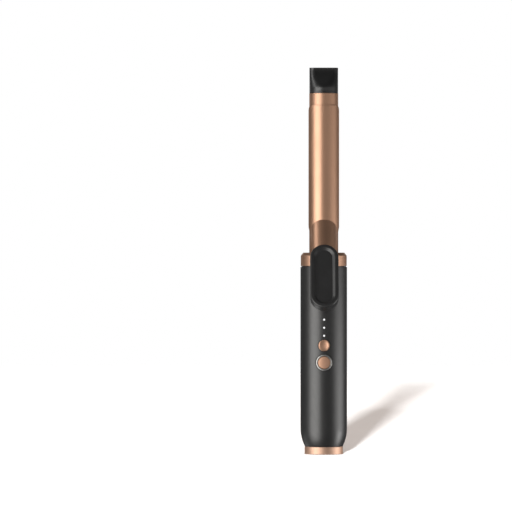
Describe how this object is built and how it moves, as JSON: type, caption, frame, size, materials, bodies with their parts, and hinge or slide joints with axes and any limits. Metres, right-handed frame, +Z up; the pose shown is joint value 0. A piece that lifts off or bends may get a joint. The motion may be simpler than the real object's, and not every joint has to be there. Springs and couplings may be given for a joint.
{
  "type": "cordless hair curling iron",
  "caption": "Cordless hair curling iron: round handle, slim heated barrel with a pinched cool tip, and a sprung clamp opened by a thumb lever.",
  "frame": {"origin": "centre of the flat foot that the iron stands on", "axes": "+Z up the barrel's axis towards the tip, -Y the front with the lever, buttons and lamps, +X the right hand side seen from the front"},
  "size_m": [0.04, 0.0703, 0.3328],
  "materials": {
    "handle_plastic": "satin",
    "rose_gold": "satin anodised rose gold",
    "rose_gold_barrel": "satin rose gold coating",
    "tip_plastic": "gloss",
    "lever_plastic": "satin",
    "silver_ring": "polished",
    "cap_plastic": "matte",
    "lamp_clear": "clear",
    "lamp_chip": "gloss",
    "steel": "plain",
    "spring_steel": "plain",
    "bare_aluminium": "milled",
    "ceramic_grey": "fired ceramic",
    "film_amber": "polyimide film",
    "heat_plastic": "glass-filled",
    "board_green": "solder mask",
    "chip_black": "moulded",
    "connector_white": "moulded",
    "cell_wrap": "shrink wrap",
    "nickel": "plain",
    "lead_white": "silicone",
    "lead_red": "silicone",
    "lead_black": "silicone"
  },
  "bodies": {
    "handle": {"front_shell": "handle_plastic", "rear_shell": "handle_plastic", "base_ring": "rose_gold", "bottom_cap": "cap_plastic", "collar": "rose_gold", "barrel_tube": "rose_gold_barrel", "barrel_seat": "heat_plastic", "cool_tip": "tip_plastic", "heat_spreader_left": "bare_aluminium", "heat_spreader_right": "bare_aluminium", "heater_element": "ceramic_grey", "heater_film": "film_amber", "thermal_fuse": "nickel", "thermistor": "ceramic_grey", "tip_insulator": "heat_plastic", "hinge_frame": "heat_plastic", "frame_screws": "steel", "pivot_pin": "steel", "pin_clip": "spring_steel", "torsion_spring": "spring_steel", "power_ring": "silver_ring", "temp_switch": "chip_black", "power_switch": "chip_black", "led_chips": "lamp_chip", "light_guide": "lamp_clear", "control_board": "board_green", "controller_chip": "chip_black", "power_transistors": "chip_black", "battery_connector": "connector_white", "board_screws": "steel", "battery_cell": "cell_wrap", "cell_tabs": "nickel", "cell_cradle": "heat_plastic", "charge_board": "board_green", "charge_chip": "chip_black", "usb_socket": "nickel", "heater_leads": "lead_white", "battery_leads": "lead_red", "charge_leads": "lead_black"},
    "clamp": {"clamp_arm": "rose_gold_barrel", "lever_cover": "lever_plastic", "lever_body": "lever_plastic", "lever_screws": "steel"},
    "temp_control": {"temp_button": "rose_gold", "temp_plunger": "connector_white"},
    "power_control": {"power_button": "rose_gold", "power_plunger": "connector_white"}
  },
  "joints": [
    {"name": "clamp_hinge", "type": "hinge", "parent": "handle", "child": "clamp", "pos_m": [0, -0.006, 0.148], "axis": [1, 0, 0], "range_deg": [0, 20], "stiffness_Nm_per_rad": 0.25, "springref_deg": -20.05, "deforming": ["torsion_spring"]},
    {"name": "temp_button_press", "type": "slide", "parent": "handle", "child": "temp_control", "axis": [0, 1, 0], "range_m": [0, 0.0006], "stiffness_N_per_m": 2500, "springref_m": -0.0004},
    {"name": "power_button_press", "type": "slide", "parent": "handle", "child": "power_control", "axis": [0, 1, 0], "range_m": [0, 0.0006], "stiffness_N_per_m": 2500, "springref_m": -0.0004}
  ]
}
